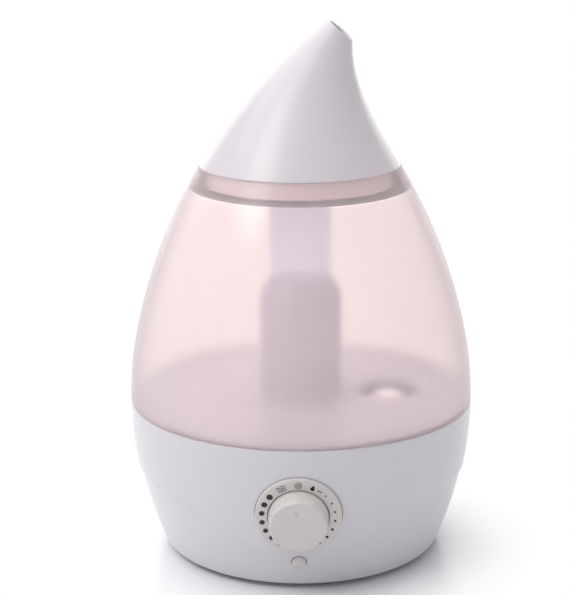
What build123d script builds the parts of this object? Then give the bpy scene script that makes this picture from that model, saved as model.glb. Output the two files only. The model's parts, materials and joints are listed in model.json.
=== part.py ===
# Cool mist humidifier shaped like a water drop: a base with the electronics, a water tank
# that lifts off it, and a leaning nozzle that turns on top.
# Millimetres, +Z up. The origin is on the drop's vertical axis, level with the soles of its feet.
# The dial is at the front (-Y), and the nozzle's tip leans to the right (+X).
from build123d import *
import math
import os

os.makedirs("parts", exist_ok=True)

# ---- Driving dimensions ----
seam_radius = 105.0  # the drop is widest where the tank meets the base
seam_height = 93.0
side_arc = 227.0  # radius of the base's side, seen from the front
casing_wall = 3.2
crease_step = 1.2  # how far the lower half of the base is set back below its crease
casing_low = 3.0
casing_top = 92.6
ledge_radius = 78.9  # the casing's foot ledge, clamped on the bottom plate

tank_low_arc = 205.0  # the tank's side curves more near the seam than near its mouth
tank_arc_change = 135.0
mouth_height = 237.5
mouth_radius = 60.4
tank_wall = 2.2
cup_radius = 58.7  # round recess in the tank's top, which takes the nozzle seat
cup_floor = 224.5
floor_low, floor_high = 93.2, 95.6  # tank floor
sleeve_radius = 25.2  # wide mist sleeve on the tank floor, and the tube that plugs into it
sleeve_top = 158.0
tube_radius = 19.1
tube_low = 150.0
tube_wall = 1.8

seat_low = 226.7
nozzle_low = 237.9
nozzle_high = 324.0  # the drop's tip, and the height of the whole object
nozzle_wall = 2.4
nozzle_bore = 55.2

deck_radius = 101.6
deck_low, deck_high = 83.6, 86.0
pool_floor = 62.0
pool_length, pool_width, pool_corner = 124.0, 64.0, 30.0
pool_x = 24.0
basin_wall = 2.2
well_radius, well_floor = 15.0, 55.0

dial_height = 52.2  # centre of the dial plate
dial_tilt = 11.0  # its face looks a little downwards, as the side of the base does
dial_radius = 25.0
dial_proud = 0.5
knob_radius = 17.3
knob_top = 11.5
scale_radius = 21.1  # ring of dots, and the indicator lens at its top
button_height = 20.0
button_tilt = 18.8
button_radius = 4.25
button_travel = 1.5

neck_x = 54.0  # the tank's filler neck, and the valve in its cap
neck_radius = 21.3
cap_low = 77.0
cap_ceiling = 85.0
valve_travel = 5.0
pin_top = 76.0
fan_y = 52.0
fan_size = 50.0
fan_low, fan_high = 9.0, 24.0
fan_hole = 20.0  # from the fan's centre, along X and Y
duct_radius = 15.0
post_offset = 49.5  # the four screw posts and feet, along X and Y
float_x = -27.0
float_low = 62.4
lamp_x = -64.0
inlet_height = 42.0

upright = (Align.CENTER, Align.CENTER, Align.MIN)  # a solid that stands on its own base
hanging = (Align.CENTER, Align.CENTER, Align.MAX)


def base_radius(z, inset=0.0):
    """Radius of the base's side at height z, moved in by inset."""
    rise = seam_height - z
    return seam_radius - side_arc + math.sqrt((side_arc - inset) ** 2 - rise**2)


def side_line(low, high, inset=0.0):
    """Low, middle and high point of the base's side between two heights."""
    return [(base_radius(z, inset), z) for z in (low, (low + high) / 2, high)]


def tank_arcs():
    """Centre and radius of the tank's two side arcs, which meet without a corner."""
    low_centre = Vector(seam_radius - tank_low_arc, seam_height)
    lean = math.asin((tank_arc_change - seam_height) / tank_low_arc)
    inward = Vector(-math.cos(lean), -math.sin(lean))
    change = low_centre - inward * tank_low_arc
    chord = Vector(mouth_radius, mouth_height) - change
    high_arc = chord.length**2 / (2 * chord.dot(inward))
    return (low_centre, tank_low_arc), (change + inward * high_arc, high_arc)


def tank_radius(z, inset=0.0):
    """Radius of the tank's side at height z, moved in by inset."""
    low, high = tank_arcs()
    centre, arc = low if z <= tank_arc_change else high
    return centre.X + math.sqrt((arc - inset) ** 2 - (z - centre.Y) ** 2)


def tank_line(low, high, inset=0.0):
    """Low, middle and high point of one of the tank's side arcs."""
    return [(tank_radius(z, inset), z) for z in (low, (low + high) / 2, high)]


def nozzle_section(z):
    """Centre and radius of the nozzle's round section at height z: it narrows and leans over."""
    t = (z - nozzle_low) / (nozzle_high - nozzle_low)
    return 24.6 * t**2.6, mouth_radius - 52.9 * t - 5.3 * t**2 + 6.5 * t**3


def facing(height, inset, proud, tilt):
    """A plane on the front of the base, looking out and a little down."""
    lean = math.radians(tilt)
    outwards = (0, -math.cos(lean), -math.sin(lean))
    return Plane(origin=(0, -base_radius(height, inset) - proud, height), x_dir=(1, 0, 0), z_dir=outwards)


dial = facing(dial_height, 0, dial_proud, dial_tilt)
dial_axis = Axis(dial.origin, dial.z_dir)
button = facing(button_height, crease_step, 0, button_tilt)
button_axis = Axis(button.origin, button.z_dir)
inlet_face = base_radius(inlet_height, crease_step)
post_places = [(x, y) for x in (-post_offset, post_offset) for y in (-post_offset, post_offset)]
fan_corners = [(x, fan_y + y) for x in (-fan_hole, fan_hole) for y in (-fan_hole, fan_hole)]

# ---- Base: outer casing ----
with BuildPart() as below_crease:
    # everything under the crease, which is low below the dial and high at the sides
    with BuildSketch(Plane.XZ.offset(-140)):
        with BuildLine():
            swoop = Spline((17, 27), (35, 31.6), (55, 44), (70, 50.4), (88, 52), tangents=[(1, 0), (1, 0)])
            Polyline(swoop @ 1, (140, 52), (140, -5), (0, -5), (0, 27), swoop @ 0)
        make_face()
        mirror(about=Plane.YZ)
    extrude(amount=280)

with BuildPart() as outside_set_back:
    # everything outside the set-back side
    with BuildSketch(Plane.XZ):
        with BuildLine():
            low_side = ThreePointArc(*side_line(casing_low, 60, crease_step))
            Polyline(low_side @ 1, (140, 60), (140, casing_low), low_side @ 0)
        make_face()
    revolve(axis=Axis.Z)

crease_cut = below_crease.part & outside_set_back.part

with BuildPart() as base_casing:
    with BuildSketch(Plane.XZ):
        with BuildLine():
            side = ThreePointArc(*side_line(casing_low, casing_top))
            Polyline(side @ 1, (0, casing_top), (0, casing_low), side @ 0)
        make_face()
    revolve(axis=Axis.Z)
    add(crease_cut, mode=Mode.SUBTRACT)
    foot_edge = base_casing.edges().filter_by(GeomType.CIRCLE).group_by(Axis.Z)[0]
    chamfer(foot_edge, length=1.6)
    # hollow inside, with a ledge for the bottom plate and one for the deck
    with BuildSketch(Plane.XZ):
        with BuildLine():
            inner_side = ThreePointArc(*side_line(7.6, casing_top, casing_wall))
            Polyline(inner_side @ 1, (0, casing_top), (0, 7.6), inner_side @ 0)
        make_face()
    revolve(axis=Axis.Z, mode=Mode.SUBTRACT)
    with Locations((0, 0, deck_low)):
        Cylinder(base_radius(deck_low) - 1, 2.6, align=hanging)
        Cylinder(96, 2.6, align=hanging, mode=Mode.SUBTRACT)
    with Locations((0, 0, casing_low)):
        Cylinder(ledge_radius, 20, align=upright, mode=Mode.SUBTRACT)
        Cylinder(81.4, 2.4, align=upright, mode=Mode.SUBTRACT)
    # holes for the dial plate, the light button and the power inlet
    with BuildSketch(dial):
        Circle(dial_radius + 0.3)
    extrude(amount=12, both=True, mode=Mode.SUBTRACT)
    with BuildSketch(button):
        Circle(button_radius + 0.35)
    extrude(amount=6, both=True, mode=Mode.SUBTRACT)
    with BuildSketch(Plane.XZ.offset(-110)):
        with Locations((0, inlet_height)):
            Circle(4.2)
    extrude(amount=30, mode=Mode.SUBTRACT)
    with BuildSketch(Plane.XZ.offset(-inlet_face)):
        with Locations((0, inlet_height)):
            Circle(6)
    extrude(amount=-5, mode=Mode.SUBTRACT)
base_casing.part.label = "base_casing"
export_step(base_casing.part, "parts/base_casing.step")

# ---- Base: bottom plate with the air intake ----
with BuildPart() as bottom_plate:
    with Locations((0, 0, casing_low)):
        Cylinder(81.1, 2.4, align=upright)
    # a cup at each post: a foot below, and the screw head above it
    with Locations(*[(x, y, casing_low) for x, y in post_places]):
        Cylinder(8.5, 7, align=upright)
        Cylinder(1.9, 7, align=upright, mode=Mode.SUBTRACT)
        Cylinder(4, 4, align=upright, mode=Mode.SUBTRACT)
        Cylinder(7.1, 1.2, align=upright, mode=Mode.SUBTRACT)
    with Locations(*[(x, y, 5.4) for x, y in fan_corners]):
        Cylinder(3, fan_low - 5.4, align=upright)
        Cylinder(1.25, fan_low - 5.4, align=upright, mode=Mode.SUBTRACT)
    # intake slots below the fan
    with BuildSketch(Plane.XY.offset(casing_low)):
        with Locations((0, fan_y)):
            with GridLocations(0, 5, 1, 6):
                SlotOverall(32, 2.8)
    extrude(amount=2.4, mode=Mode.SUBTRACT)
    # stand-offs for the two circuit boards
    for side_x in (-46, 46):
        with Locations((side_x, -8, 5.4)):
            with GridLocations(36, 48, 2, 2):
                Cylinder(2.6, 10.6, align=upright)
                Cylinder(1.1, 10.6, align=upright, mode=Mode.SUBTRACT)
    # two ribs that hold the light switch's board
    for side_x in (-8.25, 8.25):
        with Locations((side_x, -74.2, 5.4)):
            Box(2.5, 6, 17, align=upright)
        with Locations((side_x, -78, 9)):
            Box(2.5, 10, 13.4, align=upright)
bottom_plate.part.label = "bottom_plate"
export_step(bottom_plate.part, "parts/bottom_plate.step")

with BuildPart() as rubber_feet:
    with Locations(*[(x, y, 0) for x, y in post_places]):
        Cylinder(7, 4.2, align=upright)
    soles = rubber_feet.edges().group_by(Axis.Z)[0]
    fillet(soles, radius=0.8)
rubber_feet.part.label = "rubber_feet"
export_step(rubber_feet.part, "parts/rubber_feet.step")

with BuildPart() as bottom_screws:
    with Locations(*[(x, y, 0) for x, y in post_places]):
        with Locations((0, 0, 5)):
            Cylinder(3.5, 2, align=upright)
            Cylinder(1.45, 18, align=upright)
            Box(0.9, 4.6, 0.8, align=upright, mode=Mode.SUBTRACT)
            Box(4.6, 0.9, 0.8, align=upright, mode=Mode.SUBTRACT)
bottom_screws.part.label = "bottom_screws"
export_step(bottom_screws.part, "parts/bottom_screws.step")

with BuildPart() as intake_filter:
    with BuildSketch(Plane.XY.offset(5.4)):
        with Locations((0, fan_y)):
            RectangleRounded(33, 33, 3)
    extrude(amount=2.2)
intake_filter.part.label = "intake_filter"
export_step(intake_filter.part, "parts/intake_filter.step")

# ---- Base: deck and water basin ----
with BuildPart() as basin:
    with Locations((0, 0, deck_low)):
        Cylinder(deck_radius, deck_high - deck_low, align=upright)
    with BuildSketch(Plane.XY.offset(pool_floor - basin_wall)):
        with Locations((pool_x, 0)):
            RectangleRounded(pool_length + 2 * basin_wall, pool_width + 2 * basin_wall, pool_corner + basin_wall)
    extrude(until=Until.NEXT)
    with Locations((0, 0, well_floor - basin_wall)):
        Cylinder(19.5, pool_floor - well_floor, align=upright)
    # collar under the deck for the air duct, posts for the bottom screws, bosses for the transducer
    with Locations((0, fan_y, deck_low)):
        Cylinder(duct_radius + 1.9, 7, align=hanging)
    with Locations(*[(x, y, 10) for x, y in post_places]):
        Cylinder(4.5, deck_low - 10, align=upright)
    with Locations((0, 0, 50.2)):
        with PolarLocations(16.5, 3):
            Cylinder(2.8, 3, align=upright)
    # air outlet on the deck, open towards the pool
    with Locations((0, fan_y, deck_high)):
        Cylinder(duct_radius, 5, align=upright)
    # hollows
    with BuildSketch(Plane.XY.offset(pool_floor)):
        with Locations((pool_x, 0)):
            RectangleRounded(pool_length, pool_width, pool_corner)
    extrude(amount=deck_high - pool_floor, mode=Mode.SUBTRACT)
    with Locations((0, 0, well_floor)):
        Cylinder(well_radius, 10, align=upright, mode=Mode.SUBTRACT)
        Cylinder(9, 10, align=hanging, mode=Mode.SUBTRACT)
    with Locations((0, fan_y, deck_low - 7)):
        Cylinder(duct_radius + 0.05, 7, align=upright, mode=Mode.SUBTRACT)
    with Locations((0, fan_y, deck_low)):
        Cylinder(duct_radius - 1.8, 6, align=upright, mode=Mode.SUBTRACT)
    with Locations((0, fan_y - duct_radius, deck_high + 0.6)):
        Box(19, 12, 3, align=upright, mode=Mode.SUBTRACT)
    with Locations(*[(x, y, 10) for x, y in post_places]):
        Cylinder(1.45, 16, align=upright, mode=Mode.SUBTRACT)
    with Locations((0, 0, 50.2)):
        with PolarLocations(16.5, 3):
            Cylinder(1.2, 4, align=upright, mode=Mode.SUBTRACT)
    with Locations((lamp_x, 0, deck_low)):
        Cylinder(9, 3, align=upright, mode=Mode.SUBTRACT)
    # float post with a blind bore for its reed switch, and the pin that lifts the tank's valve
    with Locations((float_x, 0, pool_floor - basin_wall)):
        Cylinder(3, 21.2, align=upright)
        Cylinder(1.9, 19.4, align=upright, mode=Mode.SUBTRACT)
    with Locations((neck_x, 0, pool_floor)):
        Cylinder(2.5, pin_top - pool_floor, align=upright)
        Box(9, 1.4, 9, align=upright)
        Box(1.4, 9, 9, align=upright)
# One moulding in the real object. The pool is cut off it here and halved, so that the
# collision pieces of each part follow the pool's rounded corners.
pool_half = Vector(pool_length / 2 + 8, pool_width + 2 * basin_wall + 0.8, deck_low - 40)
left_space = Pos(pool_x, 0, 40) * Box(*pool_half, align=(Align.MAX, Align.CENTER, Align.MIN))
right_space = Pos(pool_x, 0, 40) * Box(*pool_half, align=(Align.MIN, Align.CENTER, Align.MIN))
pool_left = basin.part & left_space
pool_left.label = "pool_left"
export_step(pool_left, "parts/pool_left.step")
pool_right = basin.part & right_space
pool_right.label = "pool_right"
export_step(pool_right, "parts/pool_right.step")
basin_deck = basin.part - left_space - right_space
basin_deck.label = "basin"
export_step(basin_deck, "parts/basin.step")

with BuildPart() as float_clip:
    with Locations((float_x, 0, 79.4)):
        Cylinder(4.4, 1.2, align=upright)
        Cylinder(3, 1.2, align=upright, mode=Mode.SUBTRACT)
        with Locations((-4, 0, 0)):
            Box(4, 3.4, 1.2, align=upright, mode=Mode.SUBTRACT)
float_clip.part.label = "float_clip"
export_step(float_clip.part, "parts/float_clip.step")

with BuildPart() as float_ring:
    with Locations((float_x, 0, float_low)):
        Cylinder(8, 7, align=upright)
        Cylinder(3.5, 7, align=upright, mode=Mode.SUBTRACT)
        with Locations((0, 0, 1.5)):
            Cylinder(6.2, 2.5, align=upright, mode=Mode.SUBTRACT)
    fillet(float_ring.edges().filter_by(GeomType.CIRCLE).group_by(SortBy.RADIUS)[-1], radius=1)
float_ring.part.label = "float_ring"
export_step(float_ring.part, "parts/float_ring.step")

with BuildPart() as float_magnet:
    with Locations((float_x, 0, float_low + 1.5)):
        Cylinder(6.2, 2.5, align=upright)
        Cylinder(3.5, 2.5, align=upright, mode=Mode.SUBTRACT)
float_magnet.part.label = "float_magnet"
export_step(float_magnet.part, "parts/float_magnet.step")

with BuildPart() as reed_switch:
    with Locations((float_x, 0, 63)):
        Cylinder(1.2, 13, align=upright)
    with Locations((float_x, 0, 58)):
        Cylinder(0.35, 5, align=upright)
reed_switch.part.label = "reed_switch"
export_step(reed_switch.part, "parts/reed_switch.step")

# ---- Base: transducer below the pool ----
with BuildPart() as transducer_seal:
    with Locations((0, 0, 50.2)):
        Cylinder(12.4, 2.6, align=upright)
        Cylinder(8.4, 2.6, align=upright, mode=Mode.SUBTRACT)
        Cylinder(10, 1.2, align=upright, mode=Mode.SUBTRACT)
transducer_seal.part.label = "transducer_seal"
export_step(transducer_seal.part, "parts/transducer_seal.step")

with BuildPart() as transducer_disc:
    with Locations((0, 0, 50.2)):
        Cylinder(10, 1.2, align=upright)
transducer_disc.part.label = "transducer_disc"
export_step(transducer_disc.part, "parts/transducer_disc.step")

with BuildPart() as transducer_ring:
    with BuildSketch(Plane.XY.offset(48.6)):
        Circle(19.5)
        Circle(7, mode=Mode.SUBTRACT)
        with PolarLocations(16.5, 3):
            Circle(1.4, mode=Mode.SUBTRACT)
    extrude(amount=1.6)
transducer_ring.part.label = "transducer_ring"
export_step(transducer_ring.part, "parts/transducer_ring.step")

with BuildPart() as transducer_screws:
    with Locations((0, 0, 47)):
        with PolarLocations(16.5, 3):
            Cylinder(2.4, 1.6, align=upright)
            Cylinder(1.2, 6.6, align=upright)
            Box(0.7, 3.4, 0.6, align=upright, mode=Mode.SUBTRACT)
transducer_screws.part.label = "transducer_screws"
export_step(transducer_screws.part, "parts/transducer_screws.step")

# ---- Base: fan and air duct ----
with BuildPart() as fan_housing:
    with BuildSketch(Plane.XY.offset(fan_low)):
        with Locations((0, fan_y)):
            RectangleRounded(fan_size, fan_size, 3)
            Circle(23.4, mode=Mode.SUBTRACT)
        with Locations(*fan_corners):
            Circle(1.6, mode=Mode.SUBTRACT)
    extrude(amount=fan_high - fan_low)
    with BuildSketch(Plane.XY.offset(fan_low)):
        with Locations((0, fan_y)):
            Circle(10.5)
            with PolarLocations(17, 3, start_angle=30):
                Rectangle(15, 3)
    extrude(amount=1.2)
    with Locations((0, fan_y, fan_low + 1.2)):
        Cylinder(1.5, 8, align=upright)
fan_housing.part.label = "fan_housing"
export_step(fan_housing.part, "parts/fan_housing.step")

with BuildPart() as fan_rotor:
    with Locations((0, fan_y, fan_low + 2)):
        Cylinder(10.5, 11, align=upright)
        Cylinder(8.6, 9.5, align=upright, mode=Mode.SUBTRACT)
        Cylinder(3, 11, align=upright)
        Cylinder(1.55, 8, align=upright, mode=Mode.SUBTRACT)
    # seven blades, each turned as it rises from root to tip
    for number in range(7):
        turn = number * 360 / 7
        blade = Plane((0, fan_y, fan_low + 7.5), x_dir=Vector(1, 0, 0).rotate(Axis.Z, turn + 90),
                      z_dir=Vector(1, 0, 0).rotate(Axis.Z, turn))
        with BuildSketch(blade.offset(9.8)):
            Rectangle(9, 1.3, rotation=38)
        with BuildSketch(blade.offset(22.4)):
            Rectangle(12, 1.1, rotation=26)
        loft()
fan_rotor.part.label = "fan_rotor"
export_step(fan_rotor.part, "parts/fan_rotor.step")

with BuildPart() as air_duct:
    with BuildSketch(Plane.XY.offset(fan_high)):
        with Locations((0, fan_y)):
            RectangleRounded(fan_size, fan_size, 3)
    extrude(amount=1.6)
    with BuildSketch(Plane.XY.offset(fan_high + 1.6)):
        with Locations((0, fan_y)):
            Circle(20.5)
    with BuildSketch(Plane.XY.offset(48)):
        with Locations((0, fan_y)):
            Circle(duct_radius)
    loft()
    with Locations((0, fan_y, 48)):
        Cylinder(duct_radius, deck_low - 48, align=upright)
    with Locations((0, fan_y, 47.9)):
        Cylinder(duct_radius - 1.8, 40, align=upright, mode=Mode.SUBTRACT)
    with BuildSketch(Plane.XY.offset(fan_high)):
        with Locations((0, fan_y)):
            Circle(19.2)
    with BuildSketch(Plane.XY.offset(48)):
        with Locations((0, fan_y)):
            Circle(duct_radius - 1.8)
    loft(mode=Mode.SUBTRACT)
    with Locations(*[(x, y, fan_high) for x, y in fan_corners]):
        Cylinder(1.6, 2, align=upright, mode=Mode.SUBTRACT)
air_duct.part.label = "air_duct"
export_step(air_duct.part, "parts/air_duct.step")

with BuildPart() as fan_screws:
    with Locations(*[(x, y, 6) for x, y in fan_corners]):
        Cylinder(1.25, 20, align=upright)
        with Locations((0, 0, fan_high + 1.6 - 6)):
            Cylinder(2.7, 1.8, align=upright)
fan_screws.part.label = "fan_screws"
export_step(fan_screws.part, "parts/fan_screws.step")

# ---- Base: circuit boards ----
with BuildPart() as driver_board:
    with BuildSketch(Plane.XY.offset(16)):
        with Locations((46, -8)):
            RectangleRounded(44, 56, 1.5)
            with GridLocations(36, 48, 2, 2):
                Circle(1.3, mode=Mode.SUBTRACT)
    extrude(amount=1.6)
    with Locations((32, -24, 17.6), (32, -12, 17.6)):
        Cylinder(4, 9, align=upright)
    with Locations((33, 8, 17.6)):
        Box(9, 6, 7, align=upright)
    with Locations((46, -24, 17.6), (46, -16, 17.6), (46, 2, 17.6)):
        Box(6, 4, 2.4, align=upright)
driver_board.part.label = "driver_board"
export_step(driver_board.part, "parts/driver_board.step")

with BuildPart() as heat_sink:
    with Locations((60, -8, 17.6)):
        Box(10, 36, 3, align=upright)
        with GridLocations(2.8, 0, 4, 1):
            Box(1.2, 36, 22, align=upright)
heat_sink.part.label = "heat_sink"
export_step(heat_sink.part, "parts/heat_sink.step")

with BuildPart() as power_board:
    with BuildSketch(Plane.XY.offset(16)):
        with Locations((-46, -8)):
            RectangleRounded(44, 56, 1.5)
            with GridLocations(36, 48, 2, 2):
                Circle(1.3, mode=Mode.SUBTRACT)
    extrude(amount=1.6)
    with Locations((-54, -20, 17.6), (-54, -6, 17.6)):
        Cylinder(5, 14, align=upright)
    with Locations((-38, -16, 17.6)):
        Cylinder(7, 8, align=upright)
    with Locations((-54, 8, 17.6)):
        Box(10, 7, 8, align=upright)
    with Locations((-38, 4, 17.6)):
        Box(8, 8, 2.6, align=upright)
power_board.part.label = "power_board"
export_step(power_board.part, "parts/power_board.step")

with BuildPart() as board_screws:
    for side_x in (-46, 46):
        with Locations((side_x, -8, 17.6)):
            with GridLocations(36, 48, 2, 2):
                Cylinder(2.4, 1.6, align=upright)
                Cylinder(1.1, 9, align=hanging)
board_screws.part.label = "board_screws"
export_step(board_screws.part, "parts/board_screws.step")

# ---- Base: dial plate, knob and what is behind them ----
with BuildPart() as dial_plate:
    with BuildSketch(dial):
        Circle(dial_radius)
    extrude(amount=-10.4)
    # flange behind the casing's wall, which keeps the plate in
    with BuildSketch(dial.offset(-10.4)):
        Circle(27)
    extrude(amount=2)
    fillet(dial_plate.faces().sort_by(dial_axis)[-1].edges(), radius=0.7)
    with BuildSketch(dial):
        Circle(knob_radius + 0.5)
    extrude(amount=-3.5, mode=Mode.SUBTRACT)
    with BuildSketch(dial.offset(-5.5)):
        Circle(23.2)
    extrude(amount=-5, mode=Mode.SUBTRACT)
    with BuildSketch(dial.offset(-5.5)):
        Circle(3.5)
        with Locations((0, scale_radius)):
            Circle(2.3)
    extrude(amount=6, mode=Mode.SUBTRACT)
    with BuildSketch(dial.offset(-12.5)):
        with Locations((-14, -18), (14, -18)):
            Circle(2.4)
            Circle(0.9, mode=Mode.SUBTRACT)
    extrude(amount=2.1)
dial_plate.part.label = "dial_plate"
export_step(dial_plate.part, "parts/dial_plate.step")

with BuildPart() as indicator_lens:
    with BuildSketch(dial.offset(-6.3)):
        with Locations((0, scale_radius)):
            Circle(1.95)
    extrude(amount=0.8)
    with BuildSketch(dial.offset(-5.5)):
        with Locations((0, scale_radius)):
            Circle(2.3)
    extrude(amount=5.8)
    fillet(indicator_lens.faces().sort_by(dial_axis)[-1].edges(), radius=0.25)
indicator_lens.part.label = "indicator_lens"
export_step(indicator_lens.part, "parts/indicator_lens.step")

with BuildPart() as potentiometer:
    with BuildSketch(dial.offset(-12.5)):
        Circle(8.3)
    extrude(amount=7)
    with BuildSketch(dial.offset(-5.5)):
        Circle(3.5)
    extrude(amount=4.6)
    with BuildSketch(dial.offset(-10)):
        Circle(2.06)
    extrude(amount=12, mode=Mode.SUBTRACT)
potentiometer.part.label = "potentiometer"
export_step(potentiometer.part, "parts/potentiometer.step")

with BuildPart() as potentiometer_nut:
    with BuildSketch(dial.offset(-3.5)):
        Circle(6)
        Circle(3.5, mode=Mode.SUBTRACT)
    extrude(amount=0.5)
    with BuildSketch(dial.offset(-3)):
        RegularPolygon(radius=5, side_count=6, major_radius=False)
        Circle(3.5, mode=Mode.SUBTRACT)
    extrude(amount=1.8)
potentiometer_nut.part.label = "potentiometer_nut"
export_step(potentiometer_nut.part, "parts/potentiometer_nut.step")

with BuildPart() as control_board:
    with BuildSketch(dial.offset(-14.1)):
        with Locations((0, 2)):
            RectangleRounded(36, 48, 2)
        with Locations((-14, -18), (14, -18)):
            Circle(1.2, mode=Mode.SUBTRACT)
    extrude(amount=1.6)
    with BuildSketch(dial.offset(-17.6)):
        with Locations((0, -14)):
            Rectangle(14, 5)
    extrude(amount=3.5)
control_board.part.label = "control_board"
export_step(control_board.part, "parts/control_board.step")

with BuildPart() as control_screws:
    with BuildSketch(dial.offset(-15.7)):
        with Locations((-14, -18), (14, -18)):
            Circle(2.1)
    extrude(amount=1.6)
    with BuildSketch(dial.offset(-14.1)):
        with Locations((-14, -18), (14, -18)):
            Circle(0.9)
    extrude(amount=3.7)
control_screws.part.label = "control_screws"
export_step(control_screws.part, "parts/control_screws.step")

with BuildPart() as indicator_led:
    with BuildSketch(dial.offset(-12.5)):
        with Locations((0, scale_radius)):
            Circle(1.5)
    extrude(amount=6)
    fillet(indicator_led.faces().sort_by(dial_axis)[-1].edges(), radius=1.2)
indicator_led.part.label = "indicator_led"
export_step(indicator_led.part, "parts/indicator_led.step")

with BuildPart() as knob_flats:
    # twelve flats that lean in towards the face
    with BuildSketch(dial.offset(-2.9)):
        RegularPolygon(radius=knob_radius + 1.1, side_count=12, major_radius=False)
    with BuildSketch(dial.offset(knob_top)):
        RegularPolygon(radius=knob_radius - 3, side_count=12, major_radius=False)
    loft()

with BuildPart() as knob:
    # round foot that runs in the plate's recess, and a grip that narrows to its face
    with BuildSketch(dial.offset(-2.9)):
        Circle(knob_radius)
    extrude(amount=5.4)
    with BuildSketch(dial.offset(2.5)):
        Circle(knob_radius - 0.35)
    with BuildSketch(dial.offset(knob_top)):
        Circle(knob_radius - 2.1)
    loft()
    add(knob_flats.part, mode=Mode.INTERSECT)
    fillet(knob.faces().sort_by(dial_axis)[-1].edges(), radius=1)
    # pointer dimple near the top of the face
    with BuildSketch(dial.offset(knob_top)):
        with Locations((0, 9.6)):
            Circle(2.65)
    extrude(amount=-0.9, mode=Mode.SUBTRACT)
    # hollow from behind, with a hub on the shaft and six ribs
    with BuildSketch(dial.offset(-2.9)):
        Circle(knob_radius - 2)
    extrude(amount=10.4, mode=Mode.SUBTRACT)
    with BuildSketch(dial.offset(0.5)):
        Circle(4.6)
        with PolarLocations(9.4, 6):
            Rectangle(12.6, 1.2)
    extrude(amount=7.2)
    with BuildSketch(dial.offset(0.5)):
        Circle(2)
    extrude(amount=7, mode=Mode.SUBTRACT)
knob.part.label = "knob"
export_step(knob.part, "parts/knob.step")

with BuildPart() as knob_shaft:
    with BuildSketch(dial.offset(-9.5)):
        Circle(2)
    extrude(amount=17)
knob_shaft.part.label = "knob_shaft"
export_step(knob_shaft.part, "parts/knob_shaft.step")

# ---- Base: light button and its switch ----
with BuildPart() as light_button:
    with BuildSketch(button.offset(-4.6)):
        Circle(5.4)
    extrude(amount=1.4)
    with BuildSketch(button.offset(-3.2)):
        Circle(button_radius)
    extrude(amount=5.4)
    fillet(light_button.faces().sort_by(button_axis)[-1].edges(), radius=1.3)
    with BuildSketch(button.offset(-9.2)):
        Circle(1.4)
    extrude(amount=4.6)
light_button.part.label = "light_button"
export_step(light_button.part, "parts/light_button.step")

with BuildPart() as light_switch:
    with BuildSketch(button.offset(-14.4)):
        Rectangle(6, 6)
    extrude(amount=3.2)
    with BuildSketch(button.offset(-11.2)):
        Circle(1.7)
    extrude(amount=0.4)
light_switch.part.label = "light_switch"
export_step(light_switch.part, "parts/light_switch.step")

with BuildPart() as switch_board:
    with BuildSketch(button.offset(-16)):
        Rectangle(14, 13)
    extrude(amount=1.6)
switch_board.part.label = "switch_board"
export_step(switch_board.part, "parts/switch_board.step")

# ---- Base: night light in the deck ----
with BuildPart() as lamp_lens:
    with Locations((lamp_x, 0, deck_low)):
        Cylinder(9, deck_high - deck_low, align=upright)
    with Locations((lamp_x, 0, deck_low)):
        Cylinder(11.5, 1.4, align=hanging)
lamp_lens.part.label = "lamp_lens"
export_step(lamp_lens.part, "parts/lamp_lens.step")

with BuildPart() as lamp_board:
    with Locations((lamp_x, 0, 76)):
        Cylinder(12, 1.6, align=hanging)
        with PolarLocations(5, 3):
            Cylinder(1.5, 4.4, align=upright)
    # three legs stand it off the lens
    with Locations((lamp_x, 0, 76)):
        with PolarLocations(10.2, 3, start_angle=60):
            Cylinder(1.1, deck_low - 1.4 - 76, align=upright)
lamp_board.part.label = "lamp_board"
export_step(lamp_board.part, "parts/lamp_board.step")

# ---- Base: power inlet at the back ----
with BuildPart() as power_inlet:
    with BuildSketch(Plane.XZ.offset(-inlet_face)):
        with Locations((0, inlet_height)):
            Circle(5.8)
    extrude(amount=-1)
    with BuildSketch(Plane.XZ.offset(-inlet_face)):
        with Locations((0, inlet_height)):
            Circle(4.1)
    extrude(amount=13)
    with BuildSketch(Plane.XZ.offset(-inlet_face - 1)):
        with Locations((0, inlet_height)):
            Circle(2.75)
            Circle(1, mode=Mode.SUBTRACT)
    extrude(amount=10, mode=Mode.SUBTRACT)
power_inlet.part.label = "power_inlet"
export_step(power_inlet.part, "parts/power_inlet.step")

with BuildPart() as inlet_nut:
    with BuildSketch(Plane.XZ.offset(5.6 - inlet_face)):
        with Locations((0, inlet_height)):
            RegularPolygon(radius=5.5, side_count=6, major_radius=False)
            Circle(4.1, mode=Mode.SUBTRACT)
    extrude(amount=2)
inlet_nut.part.label = "inlet_nut"
export_step(inlet_nut.part, "parts/inlet_nut.step")

# ---- Tank ----
with BuildPart() as tank_shell:
    with BuildSketch(Plane.XZ):
        with BuildLine():
            low_arc = ThreePointArc(*tank_line(seam_height, tank_arc_change))
            high_arc = ThreePointArc(*tank_line(tank_arc_change, mouth_height))
            Polyline(high_arc @ 1, (0, mouth_height), (0, seam_height), low_arc @ 0)
        make_face()
    revolve(axis=Axis.Z)
    with BuildSketch(Plane.XZ):
        with BuildLine():
            low_arc = ThreePointArc(*tank_line(seam_height, tank_arc_change, tank_wall))
            high_arc = ThreePointArc(*tank_line(tank_arc_change, mouth_height, tank_wall))
            Polyline(high_arc @ 1, (0, mouth_height), (0, seam_height), low_arc @ 0)
        make_face()
    revolve(axis=Axis.Z, mode=Mode.SUBTRACT)
    # the mouth's round recess, with the mist tube's hole in its floor
    with Locations((0, 0, cup_floor)):
        Cylinder(mouth_radius - 0.1, mouth_height - cup_floor, align=upright)
        Cylinder(tube_radius, 3, align=upright, mode=Mode.SUBTRACT)
    with Locations((0, 0, cup_floor + 2)):
        Cylinder(cup_radius, mouth_height - cup_floor, align=upright, mode=Mode.SUBTRACT)
tank_shell.part.label = "tank_shell"
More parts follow.
